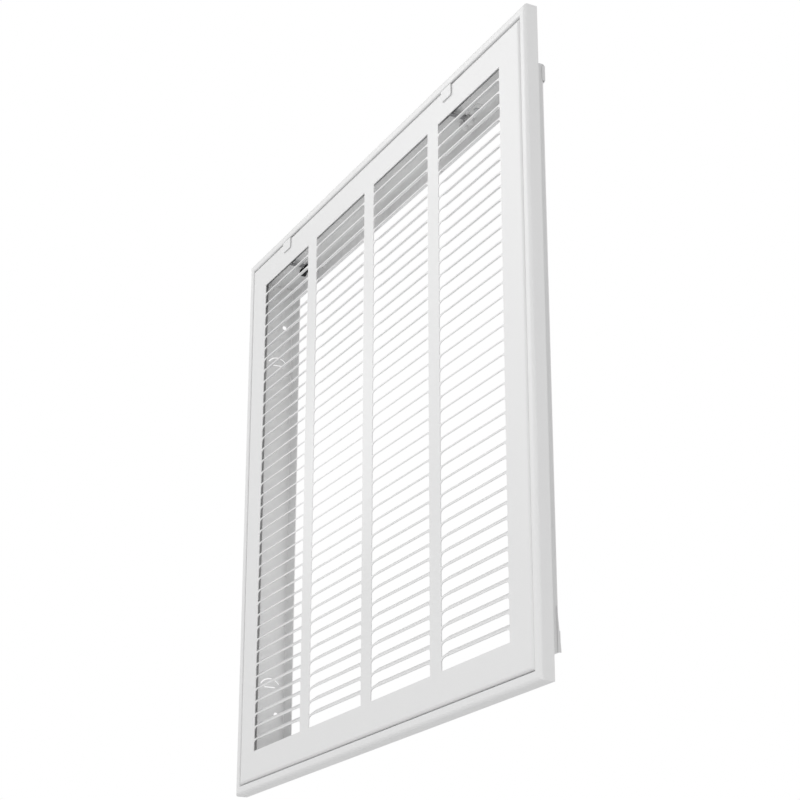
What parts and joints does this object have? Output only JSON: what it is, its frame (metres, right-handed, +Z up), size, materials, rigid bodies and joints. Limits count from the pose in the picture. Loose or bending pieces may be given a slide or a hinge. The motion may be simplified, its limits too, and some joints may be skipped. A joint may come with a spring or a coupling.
{
  "type": "return air filter grille",
  "caption": "Square white steel return air grille with a louvred door that swings down from its frame and a neck that holds a flat filter.",
  "frame": {"origin": "centre of the whole envelope, on the middle of the louvred field and half way through the depth", "axes": "+X to the right seen from the room, +Y from the room into the wall, +Z up"},
  "size_m": [0.568, 0.0388, 0.568],
  "materials": {
    "frame_paint": "satin white baked enamel",
    "door_paint": "satin white baked enamel",
    "spring_steel": "blackened spring strip, slightly oily",
    "plated_steel": "bright zinc plate"
  },
  "bodies": {
    "frame": {"face_frame": "frame_paint", "neck_top": "frame_paint", "neck_bottom": "frame_paint", "neck_left": "frame_paint", "neck_right": "frame_paint", "catch_left": "spring_steel", "catch_right": "spring_steel", "catch_rivets": "plated_steel"},
    "door": {"door_panel": "door_paint", "hinge_pin_left": "plated_steel", "hinge_pin_right": "plated_steel", "guide_studs": "plated_steel"},
    "latch_left": {"latch_left": "door_paint"},
    "latch_right": {"latch_right": "door_paint"}
  },
  "joints": [
    {"name": "door_hinge", "type": "hinge", "parent": "frame", "child": "door", "pos_m": [0, -0.01515, -0.2714], "axis": [1, 0, 0], "range_deg": [0, 100]},
    {"name": "latch_left_slide", "type": "slide", "parent": "door", "child": "latch_left", "axis": [1, 0, 0], "range_m": [0, 0.018]},
    {"name": "latch_right_slide", "type": "slide", "parent": "door", "child": "latch_right", "axis": [1, 0, 0], "range_m": [0, 0.018]}
  ]
}
